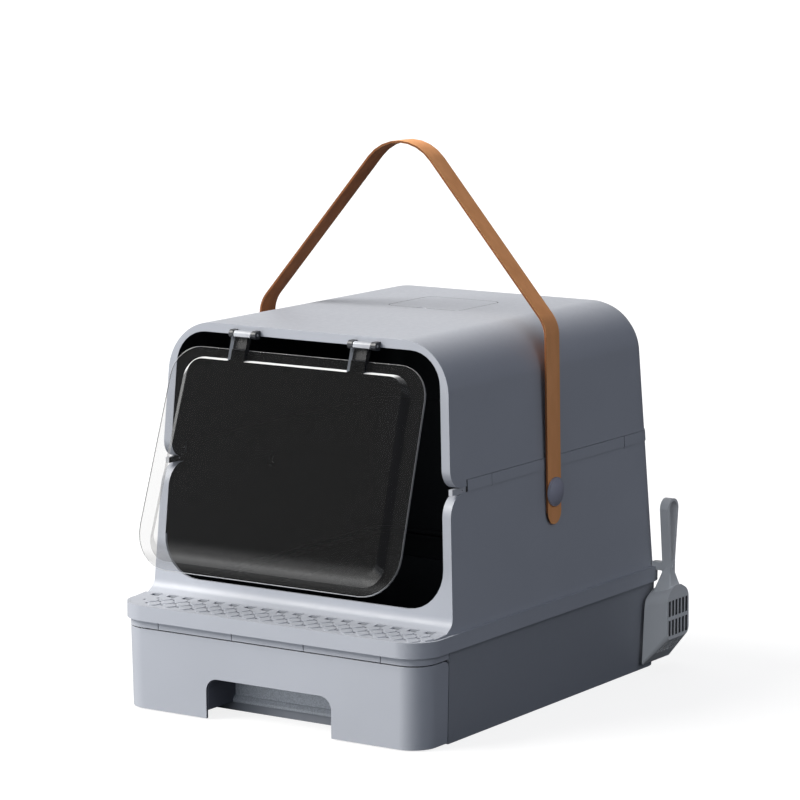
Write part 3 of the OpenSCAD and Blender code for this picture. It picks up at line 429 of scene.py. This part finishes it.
BODY = (0.40, 0.415, 0.455)
SHADED = {"rough": 0.6, "spec": 0.2}        # the finish of the dull surfaces that lie in the dark
MATERIALS = {
    "body": plastic("body_plastic", BODY),
    # Painted shade: the base is a darker copy of the body colour, for the shade on its sides below
    # the lip.
    "base": plastic("base_shaded_plastic", shade(BODY, 0.74)),
    # Painted shade: the inner faces of the hood, deck and base, and the inward faces of the clips,
    # studs and nuts, are painted near black for the dark inside the box.
    "inside": plastic("inside_painted_shade", (0.010, 0.0105, 0.012), **SHADED),
    # Painted shade: the tray's inside and top are painted near black for the dark in the box.
    "tray_inner": plastic("tray_inside_painted_shade", (0.022, 0.023, 0.026), **SHADED),
    # Painted shade: a dark copy of the body colour in the lid's groove and at the ends of the
    # hood's parting band.
    "groove": plastic("groove_painted_shade", shade(BODY, 0.14), **SHADED),
    # Painted shade on the side walls of the drawer's grip opening and recess.
    "wall": plastic("recess_wall_painted_shade", (0.12, 0.125, 0.15), **SHADED),
    # Painted shade inside the scoop's bowl and on the walls of its slots.
    "bowl": plastic("scoop_bowl_painted_shade", (0.12, 0.12, 0.12), **SHADED),
    "tray": plastic("tray_plastic", (0.46, 0.48, 0.51), rough=0.6, grain=700, grain_depth=0.12,
                    variation=0.22, drift=650),
    "light": plastic("scoop_plastic", (0.80, 0.80, 0.79), rough=0.5, grain=900, grain_depth=0.05,
                     variation=0.06),
    "clip": plastic("clip_plastic", (0.50, 0.51, 0.54)),
    "dark": plastic("dark_plastic", (0.035, 0.037, 0.042), rough=0.35),
    "button": plastic("button_plastic", (0.33, 0.33, 0.395)),
    "strap": leather("strap_leather", (0.98, 0.44, 0.175), (0.86, 0.365, 0.135)),
    "strap_inner": leather("strap_inner_face", (0.27, 0.095, 0.03), (0.19, 0.066, 0.021),
                           rough=0.75),
    "strap_edge": leather("strap_edge_paint", (0.72, 0.42, 0.20), (0.60, 0.33, 0.15), rough=0.45),
    # Painted shadow on the strap's cut edges below its bends, where it lies against the hood.
    "strap_low": leather("strap_edge_painted_shadow", (0.10, 0.05, 0.03), (0.07, 0.035, 0.02)),
    # Painted reflection: the sheet and its raised panel lighten and grow less clear towards the
    # flap's lower edge, most on the panel's lower slope.
    "pane": clear_sheet(
        "clear_pane", rough=0.12,
        colours=[(0, 0.05), (PANEL_END, 0.05), (SLOPE_END, 0.09), (RIM_START, 0.05)],
        alphas=[(0, 0.10), (PANEL_END, 0.10), (SLOPE_END, 0.20), (RIM_START, 0.14)]),
    "panel": clear_sheet(
        "clear_panel", rough=0.12,
        colours=[(0, 0.05), (PANEL_FADE, 0.05), (PANEL_END, 0.08)],
        alphas=[(0, 0.10), (PANEL_FADE, 0.10), (PANEL_END, 0.42)]),
    "pane_low": clear_sheet(
        "clear_low_slope_painted_reflection", rough=0.3,
        colours=[(PANEL_END, 0.08), (SLOPE_PEAK, 0.145), (SLOPE_END, 0.10)],
        alphas=[(PANEL_END, 0.42), (SLOPE_PEAK, 0.55), (SLOPE_END, 0.5)]),
    # Painted highlights on the raised panel's slopes and the flap's rim, brightest where they face
    # the given direction.
    "pane_slope": clear_edge(
        "clear_slope_painted_highlight", (-0.50, -0.10, 0.86),
        colours=[(0.20, 0.03), (0.42, 0.14), (0.60, 0.22), (0.80, 0.9)],
        alphas=[(0.20, 0.30), (0.42, 0.45), (0.60, 0.6), (0.80, 1.0)]),
    "pane_rim": clear_edge(
        "clear_rim_painted_highlight", (-0.85, -0.10, -0.50),
        colours=[(-0.8, 0.25), (-0.4, 0.35), (0.1, 0.85), (0.8, 0.9)],
        alphas=[(-0.8, 0.8), (-0.4, 0.5), (0.1, 0.95), (0.8, 1.0)]),
    # Painted shade: the arms are clear plastic, painted near black and nearly opaque for the dark
    # hood seen through them.
    "arm": clear("clear_arm_painted_shade", (0.014, 0.0145, 0.016), 0.96, 0.3),
    "glint": clear("clear_glint", (0.95, 0.96, 0.98), 1.0, 0.3),
    "barrel": clear("clear_barrel", (0.40, 0.41, 0.44), 0.95, 0.15),
    "steel": metal("turned_steel", (0.62, 0.62, 0.64)),
    "felt": felt("filter_felt", (0.035, 0.035, 0.036)),
}


# ---- Mesh helpers ----

def cad_mesh(node):
    """A CAD node's mesh as a bmesh, with its flat faces whole again."""
    bm = bmesh.new()
    bm.from_mesh(NODES[node].data)
    bmesh.ops.remove_doubles(bm, verts=bm.verts, dist=0.002 * MM)
    bmesh.ops.dissolve_limit(bm, angle_limit=math.radians(0.4), verts=bm.verts, edges=bm.edges)
    bmesh.ops.recalc_face_normals(bm, faces=bm.faces)
    return bm


def is_sharp(edge, degrees):
    return len(edge.link_faces) == 2 and edge.calc_face_angle(0) > math.radians(degrees)


def middle(edge):
    return (edge.verts[0].co + edge.verts[1].co) / 2


def faces_in(face, centre):
    """Whether a face looks at a point rather than away from it."""
    return face.normal.dot(face.calc_center_median() - centre) < 0


def round_edges(bm, width, chosen=None, segments=3):
    """Rounds the sharp edges that chosen(edge) picks, or all of them."""
    edges = [e for e in bm.edges if is_sharp(e, 35) and (chosen is None or chosen(e))]
    bmesh.ops.bevel(bm, geom=edges, offset=width, segments=segments, profile=0.5,
                    affect="EDGES", clamp_overlap=True, loop_slide=True)


def smooth(bm):
    """Smooth faces, with the edges that stay sharp marked."""
    for face in bm.faces:
        face.smooth = True
    for edge in bm.edges:
        edge.smooth = not is_sharp(edge, 32)


def refill(bm, face):
    """Cuts one many-sided face into triangles that stay inside its outline."""
    turn = face.normal.rotation_difference(Vector((0, 0, 1)))
    corners = list(face.verts)
    count = len(corners)
    flat = [(turn @ v.co).to_2d() for v in corners]
    ring = [(k, (k + 1) % count) for k in range(count)]
    spots, _, triangles, origins, _, _ = delaunay_2d_cdt(
        flat, ring, [list(range(count))], 1, 1e-9)
    height = (turn @ corners[0].co).z
    back = turn.inverted()
    points = [corners[origin[0]] if origin else bm.verts.new(back @ Vector((*spot, height)))
              for spot, origin in zip(spots, origins)]
    index = face.material_index
    bm.faces.remove(face)
    for triangle in triangles:
        new = bm.faces.new([points[k] for k in triangle])
        new.material_index = index
        new.smooth = True


def mend_faces(bm):
    """Refills the faces whose own triangles would reach outside their outline."""
    excess, least = 1.002, 1e-9
    area = {}
    for loops in bm.calc_loop_triangles():
        a, b, c = (loop.vert.co for loop in loops)
        face = loops[0].face
        area[face] = area.get(face, 0.0) + (b - a).cross(c - a).length / 2
    for face, filled in area.items():
        if len(face.verts) > 3 and filled > excess * face.calc_area() + least:
            refill(bm, face)


def close_cracks(bm):
    """Joins the points that lie a hair apart along open edges, and fills what is still open."""
    hair = 0.02 * MM
    loose = {v for e in bm.edges if len(e.link_faces) != 2 for v in e.verts}
    points = sorted(loose, key=lambda v: tuple(v.co))       # so that every run joins them alike
    bmesh.ops.remove_doubles(bm, verts=points, dist=hair)
    still_open = [e for e in bm.edges if len(e.link_faces) == 1]
    bmesh.ops.holes_fill(bm, edges=still_open, sides=0)


def add_piece(name, node, bm, keys, paint):
    """Makes the piece that stands for a node. keys are its materials, and paint(face) picks one
    of them for each face; without it, all have the first."""
    smooth(bm)
    if paint:
        for face in bm.faces:
            face.material_index = keys.index(paint(face))
    mend_faces(bm)
    close_cracks(bm)
    mesh = bpy.data.meshes.new(name)
    bm.to_mesh(mesh)
    bm.free()
    for key in keys:
        mesh.materials.append(MATERIALS[key])
    obj = bpy.data.objects.new(name, mesh)
    bpy.context.scene.collection.objects.link(obj)
    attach(obj, NODES[node]["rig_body"])
    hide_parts(node)
    normals = obj.modifiers.new("normals", "WEIGHTED_NORMAL")
    normals.keep_sharp = True
    normals.weight = 80
    return obj


def refined(node, keys, width, segments=3, paint=None, chosen=None):
    """A CAD node with its sharp edges rounded by width in mm, or those that chosen(edge) picks."""
    bm = cad_mesh(node)
    if width:
        round_edges(bm, width * MM, chosen, segments)
    return add_piece(node + "_skin", node, bm, keys, paint)


# ---- Hood ----

def front_edge(edge, outer):
    """Whether an edge bounds the hood's front face, on its outer or its doorway side."""
    faces = edge.link_faces
    if len(faces) != 2:
        return False
    for a, b in (faces, reversed(faces)):
        if a.normal.y < -0.85 and b.normal.y > -0.7:
            out = middle(edge) - DOOR_MIDDLE
            out.y = 0
            return (b.normal.dot(out) > 0) == outer
    return False


def near_lid(point):
    """Whether a point of the roof lies by the filter lid's edge."""
    margin = 2 * MM
    low, high = box("filter_lid")
    return (low.x - margin < point.x < high.x + margin
            and low.y - margin < point.y < high.y + margin
            and point.z > low.z - margin)


def roof_edge(edge):
    """Whether an edge bounds the lid's opening in the roof's upper face."""
    roof = box("upper_hood")[1].z
    return near_lid(middle(edge)) and middle(edge).z > roof - 0.3 * MM


def paint_hood(face):
    """Painted shade inside and between the halves, and at the lid's edge and the parting band's
    ends.
    """
    low, high = box("upper_hood")
    front = low.y + 6 * MM
    rear = high.y - 20 * MM
    mid = face.calc_center_median()
    parting = abs(mid.z - SEAM) < 1 * MM and abs(face.normal.z) > 0.9
    band_end = (abs(mid.z - SEAM) < 16 * MM and abs(face.normal.x) < 0.4
                and abs(mid.x) > high.x - 12 * MM and front + 10 * MM < mid.y < rear)
    if (near_lid(mid) and face.normal.z < SQUARE_ON) or band_end:
        return "groove"
    return "inside" if (faces_in(face, HOOD_MIDDLE) or parting) and mid.y > front else "body"


def make_hood(node):
    bm = cad_mesh(node)
    round_edges(bm, 2.0 * MM, lambda e: front_edge(e, outer=True), segments=5)
    round_edges(bm, 2.2 * MM, lambda e: front_edge(e, outer=False), segments=5)
    if node == "upper_hood":
        round_edges(bm, 0.8 * MM, roof_edge, segments=2)
    add_piece(node + "_shell", node, bm, ("body", "inside", "groove"), paint_hood)


# ---- Flap ----

def flap_depth(point):
    """How far a point lies in front of the flap's middle plane."""
    return (point - HINGE).dot(FLAP_OUT)


def flap_rim(edge):
    """Whether an edge is on the flap's outer rim, in front."""
    return (abs(flap_depth(middle(edge)) - FLAP_HALF) < 0.02 * MM
            and any(abs(f.normal.dot(FLAP_OUT)) < 0.1 for f in edge.link_faces))


def paint_flap(face):
    """The flap's sheet, raised panel, slopes and rims, and the arms up to its hinges."""
    mid = face.calc_center_median()
    down = (mid - HINGE).dot(-FLAP_UP)
    depth = flap_depth(mid)
    out = face.normal.dot(FLAP_OUT)
    if down < ARM_END and abs(abs(mid.x) - ARM_X) < ARM_HALF:
        if down < BARREL_END:
            return "barrel"
        return "glint" if face.normal.x < -0.7 else "arm"
    if -0.3 < out < 0.95 and depth < FLAP_HALF:
        return "pane_rim"
    if out > SQUARE_ON and depth > FLAP_FRONT:
        return "panel"
    if out > SQUARE_ON or out < 0:
        return "pane"
    return "pane_low" if face.normal.dot(FLAP_UP) < -0.1 else "pane_slope"


def make_flap():
    bm = cad_mesh("flap_door")
    round_edges(bm, 1.1 * MM, flap_rim, segments=4)
    round_edges(bm, 0.5 * MM, lambda e: flap_depth(middle(e)) > FLAP_FRONT)
    keys = ("pane", "pane_slope", "pane_low", "pane_rim", "arm", "glint", "barrel", "panel")
    add_piece("flap_door_skin", "flap_door", bm, keys, paint_flap)


# ---- Which edges of the other nodes are rounded, and which faces are painted how ----

def shown_edge(edge):
    """Whether an edge of the deck shows from outside."""
    return middle(edge).z > box("deck")[1].z - 17.5 * MM


def outer_side(edge):
    """Whether an edge of a strap button is on its outer side."""
    return abs(middle(edge).x) > box("strap")[1].x + 1.0 * MM


def side_wall(face, half):
    """Whether a face is a side wall of the grip opening or recess, within half of the middle."""
    mid = face.calc_center_median()
    return (abs(face.normal.x) > 0.6 and abs(mid.x) < half
            and faces_in(face, Vector((0, mid.y, mid.z))))


def paint_deck(face):
    """The deck's opening and the ring inside the hood's foot get painted shade, for the dark of the
    hood.
    """
    low, high = box("lower_hood")
    inset = 3 * MM
    foot = low.y + 10 * MM
    mid = face.calc_center_median()
    covered = all(abs(v.co.x) < high.x - inset and foot < v.co.y < high.y - inset
                  for v in face.verts)
    inner = (abs(face.normal.z) < 0.5 and mid.y > foot
             and faces_in(face, Vector((0, HOOD_MIDDLE.y, mid.z))))
    return "inside" if (covered or inner) and mid.z > box("drawer_front")[1].z else "body"


def paint_base(face):
    """The base's inner faces get painted shade, and its other faces the base's darker copy of the
    body colour, also painted shade.
    """
    return "inside" if faces_in(face, BASE_MIDDLE) else "base"


def paint_tray(face):
    """The tray gets painted shade inside and on its top, like the rest of the space in the box, and
    at its recess's sides.
    """
    low, high = box("drawer_tray")
    mid = face.calc_center_median()
    behind_recess = mid.y > low.y + 60 * MM
    at_top = mid.z > high.z - 6 * MM
    if at_top or (behind_recess and faces_in(face, BASE_MIDDLE)):
        return "tray_inner"
    return "wall" if side_wall(face, 90 * MM) else "tray"


def paint_front(face):
    """The sides of the drawer's grip opening get painted shade."""
    return "wall" if side_wall(face, 85 * MM) else "body"


def paint_lid(face):
    """The lid's edge gets painted shade, for the dark of its groove."""
    low, high = box("filter_lid")
    mid = face.calc_center_median()
    rim = min(mid.x - low.x, high.x - mid.x, mid.y - low.y, high.y - mid.y) < 1.5 * MM
    return "groove" if rim and face.normal.z < SQUARE_ON else "body"


def paint_scoop(face):
    """The inside of the scoop's bowl and the walls of its slots get painted shade."""
    low, high = box("scoop")
    edge = 7 * MM
    mid = face.calc_center_median()
    centre = Vector(((low.x + high.x) / 2, (low.y + high.y) / 2, low.z + 45 * MM))
    in_rows = (low.z + 25 * MM < mid.z < low.z + 78 * MM
               and low.y + edge < mid.y < high.y - edge)
    slot = abs(face.normal.x) < 0.5 and high.x - 3.2 * MM < mid.x < high.x - 0.3 * MM
    inner = face.normal.x < -0.6 and faces_in(face, centre)
    return "bowl" if in_rows and (slot or inner) else "light"


def looks_inward(face):
    """Whether a face on one of the sides looks at the hood's middle."""
    x = face.calc_center_median().x
    return face.normal.x * x < -0.5 * abs(x)


# The clips' and studs' faces that look into the hood get painted shade.
def paint_clip(face):
    return "inside" if looks_inward(face) else "clip"


def paint_stud(face):
    return "inside" if looks_inward(face) else "steel"


def paint_strap(face):
    """The strap's outer face, its inner face, and its cut edges: painted shadow up to its bends,
    where the strap lies against the hood; brown on the left above them, and light elsewhere."""
    mid = face.calc_center_median()
    if abs(face.normal.y) > 0.6:
        if mid.x < 0 and STRAP_BEND < mid.z < STRAP_TOP:
            return "strap_inner"
        return "strap_low" if mid.z < STRAP_BEND else "strap_edge"
    return "strap_inner" if faces_in(face, STRAP_MIDDLE) else "strap"


# ---- The pieces ----

make_hood("upper_hood")
make_hood("lower_hood")
make_flap()
refined("deck", ("body", "inside"), 0.8, paint=paint_deck, chosen=shown_edge)
refined("step_grate", ("body",), 0)
refined("base_shell", ("base", "inside"), 0.8, paint=paint_base)
refined("drawer_front", ("body", "wall"), 0.9, paint=paint_front)
refined("drawer_tray", ("tray", "tray_inner", "wall"), 0.6, paint=paint_tray)
refined("filter_lid", ("body", "groove"), 0.8, paint=paint_lid)
refined("filter_basket", ("tray",), 0.3, segments=2)
refined("filter_pad", ("felt",), 1.5)
refined("scoop_hook", ("light",), 0.6)
refined("scoop", ("light", "bowl"), 0.5, segments=2, paint=paint_scoop)
for side in ("left", "right"):
    refined(f"seam_clip_{side}", ("clip", "inside"), 0.3, segments=2,
            paint=paint_clip)
    refined(f"hinge_bracket_{side}", ("dark",), 0.8)
    refined(f"hinge_pin_{side}", ("steel",), 0.2, segments=2)
    refined(f"strap_button_{side}", ("button",), 0.6, chosen=outer_side)
    refined(f"strap_stud_{side}", ("steel", "inside"), 0.2, segments=2, paint=paint_stud)
    # The nuts sit inside the hood and are painted all over with shade.
    refined(f"strap_nut_{side}", ("inside",), 0.4, segments=2)
refined("strap", ("strap", "strap_inner", "strap_edge", "strap_low"), 0.5,
        paint=paint_strap)
